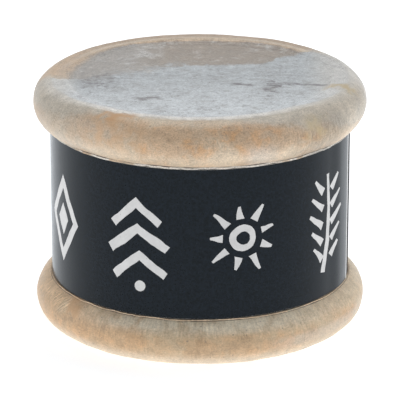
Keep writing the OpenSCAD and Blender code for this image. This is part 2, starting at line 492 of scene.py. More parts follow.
    def trimmed_edge(self, shade):
        """A fresh pale cut along parts of the trimmed edge, with painted shadow in the crease above it."""
        colours, top, end = self.colours, self.top, self.end
        cut = self.noise(self.level.moved((0.0, 0.0, 9.0 * end)), 0.085, 2.0).step(0.43, 0.47)
        cut = cut * self.attribute("lip") * 0.9
        shade = self.mix(cut, shade, colours.cut_hide if top else colours.cut_tan)
        # Painted shadow in the crease, where the crease attribute is 1, broken by noise
        dark = self.noise(self.level.moved((7.0, 0.0, 3.0 * end)), 0.11, 3.0)
        dark = dark.step(0.36, 0.5, 0.35 if top else 0.5, 0.95)
        return self.mix(dark * self.attribute("crease"), shade, colours.crease_shadow)

    def grained(self, shade):
        """Grain, drawn out along the bead, and darker behind and towards the ends; at the right end that is
        painted shade.
        """
        x, y, turn, skin, beside = self.x, self.y, self.turn, self.on_skin, self.beside
        fibre = self.combine(self.level_x * 0.5, self.level_y * 0.5, turn * 0.16)
        fibre = self.noise(fibre, 1.5, 4.0, 0.65)
        finest = self.noise(self.loose, 3.0, 2.0, 0.6) - 0.5
        tone = self.grain * skin.step(0.0, 1.0, 0.75, 1.35) + self.cloud * 0.75
        tone = tone + fibre * skin.step(0.0, 1.0, 0.45, 0.0)
        tone = tone + finest * skin.step(0.0, 1.0, 0.95 if self.top else 0.6, 0.15)
        tone = tone + skin.step(0.0, 1.0, 0.025, -0.05)
        if self.top:
            behind = y.step(14.0, 30.0, 0.0, 0.18) * self.hem.step(1.4, 2.6)
            left = beside.step(-0.5, -0.95, 0.0, 0.15)
            # Painted shade on the right end, against the extra light of the right lamp
            right = beside.step(0.45, 0.76, 0.0, 0.34) * beside.step(0.89, 0.8)
            # A lighter band near the right end and a darker strip at its very edge
            right_band = beside.step(0.82, 0.88) * beside.step(0.92, 0.97, -0.08, 0.07)
            ends_shading = (left + right + right_band) * turn.step(60.0, 15.0)
            return self.toned(shade, tone * (1.0 - behind) * (1.0 - ends_shading))
        # Painted light: slightly paler beside the tube, where the shade falls, most of all at the left end
        tone = tone * turn.step(-30.0, -48.0, 1.0, 1.06)
        return self.toned(shade, tone * (x.step(-27.0, -33.0) * turn.step(-10.0, -36.0, 0.0, 0.08) + 1.0))

    def pored(self, shade):
        """Dark pores, one in a few of many small cells."""
        cells = self.add("ShaderNodeTexVoronoi", {"Vector": self.loose, "Scale": 0.9}).outputs
        own = self.separate(cells["Color"])[0]
        self.pores = Field(self, cells["Distance"]).step(0.24, 0.1) * own.step(0.8, 0.9)
        return self.mix(self.pores * 0.5, shade, self.colours.skin_streak)

    def creased(self, shade):
        """Fine creases that run across the bead, and slanting scratches where the hide was scraped."""
        x, turn = self.x, self.turn
        across = self.combine(self.level_x, self.level_y, turn * 0.02)
        creases = self.noise(across, 1.35, 3.0, 0.62, 0.3) - 0.5
        hatched = self.noise(across, 2.7, 2.0, 0.5) - 0.5
        # They show most where the hide was gathered: on the right below the widest part, and beside the tube
        gathered = x.step(14.0, 27.0) if self.top else turn.step(0.0, -30.0, 0.0, 0.6)
        gathered = gathered * turn.step(36.0, 8.0)
        lines = creases * self.noise(self.loose, 0.12, 3.0).step(0.44, 0.62, 0.0, 0.75)
        lines = (lines + hatched * gathered * 1.2) * self.on_skin.step(1.0, 0.2)
        around = self.math("ARCTAN2", self.y, x) * (bead_r / MM)
        scraped = self.noise(self.combine(turn * 0.07 + around, 0.0, turn * 0.015), 2.2, 1.0, 0.5) - 0.5
        self.lines = scraped * self.attribute("scratch") * 2.6 + lines
        return self.toned(shade, self.lines * 0.75 + 1.0)

    def marked(self, shade):
        """The streaks and stains that mark_skin paints, with broken borders."""
        colours, x = self.colours, self.x
        broken = self.noise(self.place.stretched(0.5, 1.4, 1.0), 1.2, 5.0, 0.75)
        broken = (broken + x.step(-14.0, -20.0, 0.0, -0.07)).step(0.34, 0.54)
        shade = self.mix(self.attribute("streak") * broken, shade, colours.skin_streak)
        stain = self.mix(x.step(10.0, 20.0), colours.hide_ochre, colours.stain_yellow)
        return self.mix(self.attribute("stain") * self.cloud.step(0.3, 0.55), shade, stain)


def hide_finish(name, end):
    """The hide of one head. end is 1 for the top one and -1 for the bottom one."""
    s = HideShader(name, end)
    shade = s.over_bead()
    shade = s.top_wear(shade) if s.top else s.bottom_wear(shade)
    shade = s.bare_skin(shade)
    if s.top:
        shade = s.mix(s.pale, shade, s.pale_zone())
    for work in (s.trimmed_edge, s.grained, s.pored, s.creased, s.marked):
        shade = work(shade)
    # The crest is rubbed smoother than the rest
    crest = s.turn.step(74.0, 94.0) * s.turn.step(124.0, 112.0)
    relief = s.grain * 0.9 + s.cloud * 1.3 - s.pores * 0.7 + s.lines * 0.8 + s.rings * 0.12
    normal = s.bump(relief * (crest * -0.92 + 1.0), 0.09 * MM)
    rough = crest * -0.22 + s.cloud.step(0.3, 0.7, 0.32, 0.44)
    return s.finish(Base_Color=shade, Roughness=rough, Normal=normal)


def new_finish(name):
    """A new material's shader, and the place on the piece in millimetres."""
    s = Shader(bpy.data.materials.new(name))
    return s, s.millimetres()


def label_finish():
    """Black laminated paper: glossy ground, and white core at the cut edges and in a thin margin."""
    s, place = new_finish("label_film")
    black = s.toned(s.colours.label_black, s.noise(place, 1.6, 3.0, 0.7).step(0.3, 0.7, 0.2, 1.5))
    return s.finish(
        Base_Color=s.mix(s.attribute("core"), black, s.colours.label_core),
        Roughness=s.noise(place, 0.4, 3.0).step(0.3, 0.7, 0.13, 0.2),
        Specular_IOR_Level=0.2, Specular_Tint=(0.8, 0.93, 1.0), Sheen_Weight=0.16, Sheen_Roughness=0.3,
        Sheen_Tint=(0.5, 0.75, 1.0), Normal=s.bump(s.noise(place, 0.05, 2.0), 0.1 * MM))


def tab_finish():
    """Matt black of the uncoated glue tab that shows beyond the lapped end."""
    s, place = new_finish("label_tab")
    tone = s.mix(s.noise(place, 0.8), s.colours.tab_dark, s.colours.tab_light)
    return s.finish(Base_Color=tone, Roughness=0.75, Specular_IOR_Level=0.12)


def print_finish():
    """Off-white ink under the same laminate, with a few specks."""
    s, place = new_finish("label_print")
    ink = s.toned(s.colours.print_white, s.noise(place, 0.5).step(0.3, 0.7, 0.94, 1.03))
    specks = s.noise(place, 2.2, 2.0, 0.5).step(0.71, 0.76) * 0.6
    return s.finish(Base_Color=s.mix(specks, ink, s.colours.print_speck), Roughness=0.25,
                    Specular_IOR_Level=0.24)


def wood_finish(name, light, dark, stain=None):
    """Bare turned wood: growth rings across the piece, with fine pores. stain is painted shade on the tube's
    outer face, for the gaps beside the label.
    """
    s, place = new_finish(name)
    bent = place.stretched(1.0, 1.0, 0.12).moved((60.0, 20.0, 0.0))
    fibres = s.noise(place.stretched(4.0, 4.0, 0.35), 0.9)
    shade = s.mix(s.noise(bent, 0.35, 5.0, 0.6, 1.2).step(0.35, 0.65), light, dark)
    shade = s.mix(fibres.step(0.5, 0.75) * 0.3, shade, dark)
    if stain is not None:
        # Painted shade on the outer face, for the dark gaps beside the label
        reach = s.length(place.stretched(1, 1, 0))
        gap_shaded = reach.step((shell_r - 0.8 * MM) / MM, (shell_r - 0.3 * MM) / MM)
        shade = s.mix(gap_shaded, shade, stain)
    return s.finish(Base_Color=shade, Roughness=0.62, Normal=s.bump(fibres, 0.08 * MM))


def seed_finish():
    """Dry seed coat, brown and faintly streaked."""
    s, place = new_finish("seed_coat")
    coat = s.mix(s.noise(place, 0.9), s.colours.seed_dark, s.colours.seed_light)
    return s.finish(Base_Color=coat, Roughness=0.42, Normal=s.bump(s.noise(place, 3.0, 3.0), 0.05 * MM))


# ---------------------------------------------------------------- shared mesh work


SHARP_ANGLE = math.radians(32)


def add_object(name, bm, *materials):
    mesh = bpy.data.meshes.new(name)
    bm.to_mesh(mesh)
    bm.free()
    mesh.shade_smooth()
    mesh.set_sharp_from_angle(angle=SHARP_ANGLE)
    made = bpy.data.objects.new(name, mesh)
    bpy.context.scene.collection.objects.link(made)
    for material in materials:
        made.data.materials.append(material)
    return made


def arc(centre_r, centre_z, radius, start, end, spacing):
    """Points (r, z) along an arc from start to end degrees, both included, about spacing apart."""
    steps = max(1, round(abs(math.radians(end - start)) * radius / spacing))
    turns = [math.radians(start + (end - start) * i / steps) for i in range(steps + 1)]
    return [(centre_r + radius * math.cos(t), centre_z + radius * math.sin(t)) for t in turns]


def line(start, end, spacing):
    """Points from start to end, both included, about spacing apart."""
    steps = max(1, round(math.dist(start, end) / spacing))
    return [tuple(a + (b - a) * i / steps for a, b in zip(start, end)) for i in range(steps + 1)]


def fractal(place, scale, octaves=4):
    """Smooth noise about 0, of features about scale wide. place is a Vector in metres."""
    return noise.fractal(place / scale, 1.0, 2.0, octaves)


def smooth_step(value, low, high):
    """Rises smoothly from 0 to 1 as value goes from low to high."""
    t = min(1.0, max(0.0, (value - low) / (high - low)))
    return t * t * (3 - 2 * t)


# ---------------------------------------------------------------- camera and image points


CAMERA_DISTANCE = 0.750
CAMERA_ELEVATION = math.radians(19.28)
CAMERA_AIM = Vector((0.0, 0.0, 0.0296))
CAMERA_LENS = 265.1
CAMERA_SENSOR = 36.0


def make_camera():
    data = bpy.data.cameras.new("camera")
    data.sensor_fit = "AUTO"
    data.sensor_width = CAMERA_SENSOR
    data.lens = CAMERA_LENS
    data.clip_start = 0.05
    camera = bpy.data.objects.new("camera", data)
    bpy.context.scene.collection.objects.link(camera)
    back = Vector((0.0, -math.cos(CAMERA_ELEVATION), math.sin(CAMERA_ELEVATION)))
    camera.location = CAMERA_AIM + CAMERA_DISTANCE * back
    camera.rotation_euler = Euler((math.pi / 2 - CAMERA_ELEVATION, 0.0, 0.0))
    bpy.context.scene.camera = camera
    bpy.context.view_layer.update()


def ray(x, y):
    """Start and direction of the ray through an image point."""
    camera = bpy.context.scene.camera
    data = camera.data
    side = max(W, H)
    local = Vector((x - W / 2 + data.shift_x * side, H / 2 - y + data.shift_y * side,
                    -side * data.lens / data.sensor_width))
    turned = camera.matrix_world.to_3x3() @ local
    return camera.matrix_world.translation.copy(), turned.normalized()


def place_on(tree, x, y):
    """The point of a surface that shows at an image point, or the one nearest the ray."""
    start, direction = ray(x, y)
    hit = tree.ray_cast(start, direction)[0]
    if hit is not None:
        return hit
    # A miss: looks along the ray, from before the drum to behind it
    steps = [start + direction * (CAMERA_DISTANCE * (0.85 + 0.3 * i / 200)) for i in range(201)]
    return min((tree.find_nearest(p) for p in steps), key=lambda found: found[3])[0]


def image_of(place):
    """Image point of a place."""
    camera = bpy.context.scene.camera
    local = camera.matrix_world.inverted() @ place
    side = max(W, H)
    scale = side * camera.data.lens / camera.data.sensor_width / -local.z
    return (W / 2 + local.x * scale - camera.data.shift_x * side,
            H / 2 - local.y * scale + camera.data.shift_y * side)


# ---------------------------------------------------------------- rawhide heads


# Marks of each head by kind: image point, half length and half width in mm, slant in degrees, strength
MARKS = {
    "top_rawhide": {
        "streak": [
            ("streak_left", 3.6, 1.0, -8.0, 0.85),
            ("streak_middle", 3.0, 0.8, -14.0, 0.9),
            ("streak_low", 2.8, 0.5, -58.0, 0.85),
            ("streak_right", 4.8, 0.6, -16.0, 0.9),
            ("smudge_left", 4.8, 4.2, 0.0, 0.85),
        ],
        "net": [
            ("streak_net", 3.8, 2.4, -6.0, 1.0),
        ],
        "stain": [
            ("stain_front", 5.2, 1.4, -16.0, 1.0),
            ("stain_left", 9.0, 4.0, -30.0, 0.45),
            ("stain_right", 4.8, 1.5, -14.0, 0.95),
            ("stain_side", 3.6, 2.2, 20.0, 0.7),
        ],
        "bloom": [
            ("bloom_back", 3.4, 2.2, 0.0, 0.6),
        ],
    },
    "bottom_rawhide": {
        "stain": [
            ("stain_low", 2.4, 2.0, -30.0, 0.75),
        ],
        "scratch": [
            ("scratches", 3.8, 2.8, 0.0, 1.0),
        ],
    },
}
# How far past its half length a mark is looked for, and the soft borders at its ends and sides, all of them
# shares of its half length or half width
MARK_REACH = 2.2
MARK_ENDS = (0.6, 1.3)
MARK_SIDES = (0.5, 1.8)
# How far the middle of a mark wanders, as a share of its half width, and over what length
MARK_WANDER = 1.6
MARK_WANDER_LENGTH = 3 * MM
# The vertices that carry each mark, by the name of its image point
marked = {}


# Spacing of a head's rings of vertices, outside and inside
FINE_STEP = 0.42 * MM
COARSE_STEP = 1.2 * MM
# Gap between the cut edge and the tube, and how far the hide stands off the cut edge at the crease above it
TRIM_GAP = 0.05 * MM
CREASE_DEPTH = 0.22 * MM
# How far the top head's cut edge flares out from the tube
LIP_FLARE = 0.1 * MM


def head_profile(sizes, end):
    """Outline (r, z) of a head about its bead: the outside from the pole to the crease under the bead, the
    crease, the cut edge below it, and the inside."""
    out_r, thick, bend = hide_out_r, sizes.hide_t, sizes.skin_bend
    reach = math.sqrt(sizes.skin_dip * (2 * (out_r + bend) - sizes.skin_dip))
    leave = math.degrees(math.asin(reach / (out_r + bend)))
    skin_z = out_r - sizes.skin_dip
    bend_r = bead_r - reach
    lip_in, lip_out = shell_r + TRIM_GAP, shell_r + TRIM_GAP + thick
    under = math.degrees(math.acos((lip_out + CREASE_DEPTH - bead_r) / out_r))
    inner = math.degrees(math.acos((lip_in - bead_r) / (out_r - thick)))

    outside = line((0.0, skin_z), (bend_r, skin_z), FINE_STEP)[:-1]
    outside += arc(bend_r, skin_z + bend, bend, -90.0, leave - 90.0, FINE_STEP)[:-1]
    outside += arc(bead_r, 0.0, out_r, 90.0 + leave, -under, FINE_STEP)
    crease_z = outside[-1][1] - 0.1 * MM
    crease = [(lip_out + 0.02 * MM, crease_z), (lip_out, crease_z - 0.07 * MM)]
    lip_z = -trim_z - (sizes.lip_hang if end > 0 else 0.0)
    flare = LIP_FLARE if end > 0 else 0.0
    lip = [(lip_out + 0.3 * flare, crease_z - 0.1 * MM), (lip_out + flare, lip_z + 0.08 * MM),
           (lip_out + 0.2 * flare, lip_z)]
    inside = [(lip_in, lip_z)]
    inside += arc(bead_r, 0.0, out_r - thick, -inner, 90.0 + leave, COARSE_STEP)
    inside += arc(bend_r, skin_z + bend, bend + thick, leave - 90.0, -90.0, COARSE_STEP)[1:]
    inside += line((bend_r, skin_z - thick), (0.0, skin_z - thick), COARSE_STEP)[1:]
    return outside, crease, lip, inside


# Softness of the flat crest's shoulders
CREST_SOFT = 0.05 * MM


def pressed(z):
    """Height of a point of a head once its crest is pressed flat, where the drum stands."""
    drop = (crest_h - z) / CREST_SOFT
    # Far below the crest the press changes nothing
    return z if drop > 30 else crest_h - CREST_SOFT * math.log1p(math.exp(drop))


# Widths of the hide's unevenness, its fine texture and its folds, and of the knife's slow and quick strays
RIPPLE_WIDTH = 11 * MM
TEXTURE_WIDTH = 2.2 * MM
FOLD_WIDTH = 4.5 * MM
STRAY_WIDTH = 6 * MM
NICK_WIDTH = 1.6 * MM


def shape_hide(bm, cover, sizes, seed):
    """Gives the smooth head the unevenness of dried hide. cover is 1 on the outside of the hide."""
    shift = seed * Vector((3.1, 1.7, 0.9))
    bm.normal_update()
    moves = []
    for v in bm.verts:
        if v[cover] < 0.5:
            continue
        reach = v.co.xy.length
        # Folds show on the playing skin only, and the knife strayed at the cut edge only
        on_skin = smooth_step(bead_r - reach, -1 * MM, 5 * MM)
        at_lip = smooth_step(-v.co.z, trim_z - 0.35 * MM, trim_z - 0.1 * MM)
        place = v.co + shift
        slow = fractal(place, RIPPLE_WIDTH) * (1 - on_skin) * (1 - at_lip)
        fine = fractal(place, TEXTURE_WIDTH, 3) * 0.16
        ridge = 1 - abs(fractal(place + Vector((0, 0, 0.4)), FOLD_WIDTH))
        folds = (ridge ** 6 - 0.3) * on_skin
        move = v.normal * (sizes.ripple * (slow + fine * (1 - at_lip)) + sizes.wrinkle * folds)
        if at_lip > 0:
            around = Vector((v.co.x, v.co.y, 0.0)).normalized() * bead_r + shift
            stray = fractal(around, STRAY_WIDTH, 5) + 0.5 * fractal(around, NICK_WIDTH, 3)
            move += Vector((0, 0, sizes.trim_wave * at_lip * min(0.9, max(-0.9, stray * 1.6))))
        moves.append((v, move))
    for v, move in moves:
        v.co += move


# Only the hide within this distance inside the bead's circle is pressed flat
PRESSED_REACH = 5 * MM
MERGE_DISTANCE = 0.002 * MM


def make_head(name, end, sizes, material, seed):
    """One head: the outline is spun round the axis, roughened, then set on its end of the drum."""
    outside, crease, lip, inside = head_profile(sizes, end)
    bm = bmesh.new()
    cover = bm.verts.layers.float.new("cover")
    creased = bm.verts.layers.float.new("crease")
    cut = bm.verts.layers.float.new("lip")
    row = []
    # The crease's vertices, which carry its painted shadow
    shadowed = crease + ([outside[-1]] if end > 0 else [inside[0]])
    for part in (outside, crease, lip, inside):
        for r, z in part:
            v = bm.verts.new((r, 0.0, pressed(z) if r > bead_r - PRESSED_REACH and z > 0 else z))
            v[cover] = 0.0 if part is inside else 1.0
            v[creased] = 1.0 if (r, z) in shadowed else 0.0
            v[cut] = 1.0 if part is lip else 0.0
            row.append(v)
    for a, b in zip(row, row[1:]):
        bm.edges.new((a, b))
    bmesh.ops.spin(bm, geom=bm.verts[:] + bm.edges[:], cent=(0, 0, 0), axis=(0, 0, 1),
                   angle=2 * math.pi, steps=sizes.around, use_merge=True, use_duplicate=False)
    bmesh.ops.remove_doubles(bm, verts=bm.verts[:], dist=MERGE_DISTANCE)
    bmesh.ops.recalc_face_normals(bm, faces=bm.faces[:])
    shape_hide(bm, cover, sizes, seed)
    for v in bm.verts:
        v.co.z = min(v.co.z, crest_h)
    level = top_bead_z if end > 0 else bottom_bead_z
    set_in_place = Matrix.Translation((0, 0, level)) @ Matrix.Diagonal((1, 1, end, 1))
    bmesh.ops.transform(bm, matrix=set_in_place, verts=bm.verts[:])
    bmesh.ops.recalc_face_normals(bm, faces=bm.faces[:])
    return add_object(name, bm, material)


def mark_skin(head):
    """Paints the marks at the photograph's points onto a head, as one attribute for each kind."""
    mesh = head.data
    tree = BVHTree.FromObject(head, bpy.context.evaluated_depsgraph_get())
    for kind, marks in MARKS[head.name].items():
        strength = [0.0] * len(mesh.vertices)
        for point, half_length, half_width, slant, most in marks:
            centre = place_on(tree, *POINTS[point])
            turn = Matrix.Rotation(math.radians(-slant), 3, "Z")
            marked[point] = []
            for i, v in enumerate(mesh.vertices):
                off = v.co - centre
                if off.length > MARK_REACH * half_length * MM:
                    continue
                local = turn @ off
                wander = MARK_WANDER * half_width * MM * fractal(v.co, MARK_WANDER_LENGTH, 3)
                along = abs(local.x) / (half_length * MM)
                aside = math.hypot(local.y + wander, local.z) / (half_width * MM)
                here = most * (1 - smooth_step(along, *MARK_ENDS)) * (1 - smooth_step(aside, *MARK_SIDES))
                strength[i] = max(strength[i], here)
                if here > 0.5 * most:
                    marked[point].append(v.co.copy())
        layer = mesh.attributes.new(kind, "FLOAT", "POINT")
        layer.data.foreach_set("value", strength)


class DRUM_OT_heads(bpy.types.Operator):
    """Rawhide heads, dried over the beads at both ends"""

    bl_idname = "drum.heads"
    bl_label = "Rawhide Heads"

    def execute(self, context):
        sizes = context.scene.drum_sizes
        top = make_head("top_rawhide", 1, sizes, hide_finish("top_hide", 1), 1)
        bottom = make_head("bottom_rawhide", -1, sizes, hide_finish("bottom_hide", -1), 2)
        mark_skin(top)
        mark_skin(bottom)
        for piece, node in ((top, "top_head"), (bottom, "bottom_head")):
            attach(piece, "drum")
            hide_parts(node)
        return {"FINISHED"}


# ---------------------------------------------------------------- label and its print


# The wrap, with the same values as in the part's source
LAP_LENGTH = 6 * MM
LAP_RAMP = 6 * MM
SEAM_ANGLE = math.radians(-14.0)
LABEL_T = 0.3 * MM
# What the label keeps free of its own start, the bottom head and the top head
LAP_SLACK = 0.3 * MM
LOW_MARGIN = 0.1 * MM
HIGH_MARGIN = 0.34 * MM
LABEL_BEVEL = 0.06 * MM
# White margin along the lapped end, its soft border, and how much of the matt glue tab shows beyond it
CORE_MARGIN = 0.7 * MM
MARGIN_BORDER = 0.05 * MM
TAB_SHOWN = 8.5 * MM
# Width and height of the label's faces
AROUND_STEP = 0.55 * MM
UP_STEP = 2.5 * MM
# Height and width of the slow unevenness of the glued film
FILM_RIPPLE = 0.03 * MM
FILM_RIPPLE_WIDTH = 14 * MM
# A hair, for telling faces apart and for setting the print into the label
HAIR = 0.01 * MM


def film_lift(along):
    """How far the label's inside stands off its first turn, at a distance back from the lapped end."""
    raised = label_out_r - LABEL_T - label_in_r
    climb = 1 - smooth_step(along, LAP_LENGTH, LAP_LENGTH + LAP_RAMP)
    return raised * climb


def film_ripple(angle, z):
    """Slow unevenness of the glued film, always outwards, so that it never cuts the tube."""
    around = Vector((math.cos(angle), math.sin(angle), 0.0)) * shell_r
    return FILM_RIPPLE * (1 + fractal(around + Vector((0, 0, z)), FILM_RIPPLE_WIDTH, 2)) / 2


def wrap(along, height, z):
    """Place on the wrapped label: along runs back from the lapped end, clockwise seen from above."""
    angle = SEAM_ANGLE - along / label_in_r
    radius = label_in_r + film_lift(along) + film_ripple(angle, z) + height
    return Vector((radius * math.cos(angle), radius * math.sin(angle), z))


def cut_across(bm, axis, places):
    """Cuts a mesh by planes across an axis, so that it can follow the tube."""
    normal = [1.0 if i == axis else 0.0 for i in range(3)]
    for place in places:
        geom = bm.verts[:] + bm.edges[:] + bm.faces[:]
        point = [place * n for n in normal]
        bmesh.ops.bisect_plane(bm, geom=geom, plane_co=point, plane_no=normal)


def even_places(start, end, spacing):
    """Places between start and end, neither included, at most spacing apart."""
    steps = math.ceil((end - start) / spacing)
    return [start + (end - start) * i / steps for i in range(1, steps)]


def make_label(film, tab):
    """The label is cut flat as a thin strip, then wrapped round the tube and lapped over its own start."""
    length = 2 * math.pi * label_in_r + LAP_LENGTH - LAP_SLACK
    low, high = label_low.z + LOW_MARGIN, label_high.z - HIGH_MARGIN
    tall = high - low
    bm = bmesh.new()
    bmesh.ops.create_cube(bm, size=1.0)
    bmesh.ops.scale(bm, vec=(length, LABEL_T, tall), verts=bm.verts[:])
    bmesh.ops.translate(bm, vec=(length / 2, LABEL_T / 2, low + tall / 2), verts=bm.verts[:])
    bmesh.ops.bevel(bm, geom=bm.edges[:], offset=LABEL_BEVEL, segments=1, profile=0.5, affect="EDGES",
                    material=-1)
    tab_start = length - LAP_LENGTH - TAB_SHOWN
    cut_across(bm, 0, even_places(0.0, length, AROUND_STEP))
    # Close cuts keep the border of the white margin sharp
    cut_across(bm, 0, [CORE_MARGIN, CORE_MARGIN + MARGIN_BORDER, tab_start])
    cut_across(bm, 2, even_places(low, high, UP_STEP))
    core = bm.verts.layers.float.new("core")
    for f in bm.faces:
        f.material_index = 1 if f.calc_center_median().x > tab_start else 0
    for v in bm.verts:
        on_face = v.co.y > LABEL_T - HAIR
        v[core] = 0.0 if on_face and v.co.x > CORE_MARGIN + HAIR else 1.0
        v.co = wrap(v.co.x, v.co.y, v.co.z)
    bmesh.ops.recalc_face_normals(bm, faces=bm.faces[:])
    return add_object("label_film", bm, film, tab)


# Length of a stroke's faces, in millimetres, and the cuts in each side of a patch of few corners
STROKE_STEP = 1.2
PATCH_CUTS = 5
FEW_CORNERS = 12


class PrintSheet:
    """One printed motif, drawn flat in millimetres about its own centre: x along the label, y up it."""

    def __init__(self):
        self.bm = bmesh.new()

    def stroke(self, path, width, end_width=None):
        """A strip along a path of points, with mitred corners. Its width runs from width to end_width."""
        end_width = width if end_width is None else end_width
        path = [Vector(p) for p in path]
        sides = []
        for i, p in enumerate(path):
            before = (p - path[i - 1]).normalized() if i else (path[1] - p).normalized()
            after = (path[i + 1] - p).normalized() if i < len(path) - 1 else before
            turned = (before + after).normalized()
            across = Vector((-turned.y, turned.x)) / max(0.5, turned.dot(before))
            half = (width + (end_width - width) * i / (len(path) - 1)) / 2
            sides.append(across * half)
        longest = max((b - a).length for a, b in zip(path, path[1:]))
        steps = max(2, round(longest / STROKE_STEP))
        strip = bmesh.ops.create_grid(self.bm, x_segments=steps * (len(path) - 1), y_segments=1, size=0.5)
        for v in strip["verts"]:
            t = (v.co.x + 0.5) * (len(path) - 1)
            i = min(int(t + 1e-6), len(path) - 2)
            share = t - i
            side = 1.0 if v.co.y > 0 else -1.0
            place = path[i].lerp(path[i + 1], share) + side * sides[i].lerp(sides[i + 1], share)
            v.co = (place.x, place.y, 0.0)

    def patch(self, x, y, radius, corners=36, turn=0.0, stretch=1.0, hole=None):
        """A filled polygon of even corners, stretched up the label. hole leaves a border of that width."""
        drawn = set(self.bm.faces)
        verts = bmesh.ops.create_circle(self.bm, cap_ends=True, radius=radius, segments=corners)["verts"]
        bmesh.ops.rotate(self.bm, verts=verts, matrix=Matrix.Rotation(math.radians(turn), 3, "Z"))
        bmesh.ops.scale(self.bm, verts=verts, vec=(1.0, stretch, 1.0))
        bmesh.ops.translate(self.bm, verts=verts, vec=(x, y, 0.0))
        if hole is not None:
            faces = [f for f in self.bm.faces if f not in drawn]
            bmesh.ops.inset_individual(self.bm, faces=faces, thickness=hole, use_even_offset=True)
            bmesh.ops.delete(self.bm, geom=faces, context="FACES")
        if corners < FEW_CORNERS:
            edges = [e for e in self.bm.edges if drawn.isdisjoint(e.link_faces)]
            bmesh.ops.subdivide_edges(self.bm, edges=edges, cuts=PATCH_CUTS, use_grid_fill=True)


def spiral_motif(sheet):
    turns = [math.radians(a) for a in range(-40, 660, 12)]
    path = [((0.9 + 0.62 * t) * math.cos(t), 3.4 + (0.9 + 0.62 * t) * math.sin(t)) for t in turns]
    sheet.stroke(path, 1.1, 2.3)
    sheet.stroke([(-8.0, -11.6), (-4.2, -8.0), (0.2, -11.8), (4.4, -8.1), (8.2, -11.4)], 2.1, 1.6)


def chevron_motif(sheet):
    for y, reach, width in ((7.0, 6.2, 2.2), (0.4, 7.6, 2.5), (-6.4, 6.8, 2.2)):
        sheet.stroke([(-reach, y - 3.0), (0.3, y + 2.6), (reach, y - 2.6)], width, width * 0.85)
    sheet.patch(0.2, -11.8, 1.4, corners=20)


def lozenge_motif(sheet):
    sheet.patch(0.0, 0.0, 7.4, corners=4, stretch=1.55, hole=1.9)
    sheet.patch(0.0, 0.0, 2.7, corners=4, stretch=1.55)


def sun_motif(sheet):
    sheet.patch(0.0, 0.0, 3.4, hole=1.6)
    for i in range(9):
        t = math.radians(40 * i + 18)
        ray_end = 9.6 if i % 2 else 8.2
        sheet.stroke([(r * math.cos(t), r * math.sin(t)) for r in (5.0, ray_end)], 2.0, 0.6)


def leaf_motif(sheet):
    sheet.stroke([(-1.4, -13.0), (0.4, -5.0), (0.9, 3.0), (0.2, 12.4)], 1.9, 1.0)
    for i in range(5):
        y = -9.4 + 4.4 * i
        reach = 6.8 - 0.8 * abs(i - 2)
        for side in (-1, 1):
            sheet.stroke([(1.9 * side, y), (reach * side, y + 3.4)], 2.0, 0.8)


def comb_motif(sheet):
    sheet.stroke([(-7.0, 7.2), (-2.0, 8.2), (3.0, 8.1), (7.2, 7.0)], 2.7)
    for i in range(4):
        x = -5.4 + 3.6 * i
        sheet.stroke([(x, 5.4), (x * 0.94, -4.6 - 1.2 * (i % 2))], 1.8, 1.2)
    sheet.stroke([(-6.6, -10.6), (-2.2, -9.4), (2.4, -9.4), (6.8, -10.8)], 2.0)


def hourglass_motif(sheet):
    for end in (-1, 1):
        sheet.patch(0.0, 6.6 * end, 6.6, corners=3, turn=-90.0 * end, stretch=0.95, hole=1.8)
    sheet.patch(-5.4, 0.0, 1.3, corners=20)
    sheet.patch(5.4, 0.0, 1.3, corners=20)


def rings_motif(sheet):
    sheet.patch(0.0, 0.0, 7.6, hole=1.8)
    sheet.patch(0.0, 0.0, 3.3, hole=1.6)
    for y in (-10.8, 10.8):
        sheet.patch(0.0, y, 1.4, corners=20)


def wave_motif(sheet):
    for x in (-4.0, 0.6, 5.2):
        heights = [-11.6 + 23.2 * i / 32 for i in range(33)]
        sheet.stroke([(x + 1.2 * math.sin(h * 0.84 + x), h) for h in heights], 1.9, 1.4)


# Each motif and how far its middle sits above the middle of the label, in millimetres
MOTIFS = (
    (leaf_motif, 0.0), (sun_motif, 1.2), (chevron_motif, 0.0), (lozenge_motif, -0.6), (spiral_motif, 0.4),
    (comb_motif, 0.8), (rings_motif, -0.4), (wave_motif, 0.2), (hourglass_motif, 0.0),
)
# Greatest tilt of a motif, in degrees
MOTIF_TILT = 5.0
# The hand-cut look of the outlines: waves per millimetre, height in the noise, and how far they stray in mm
HAND_CUT = ((0.35, 0.3, 0.28), (1.1, 0.7, 0.1))
PRINT_SEED = 5


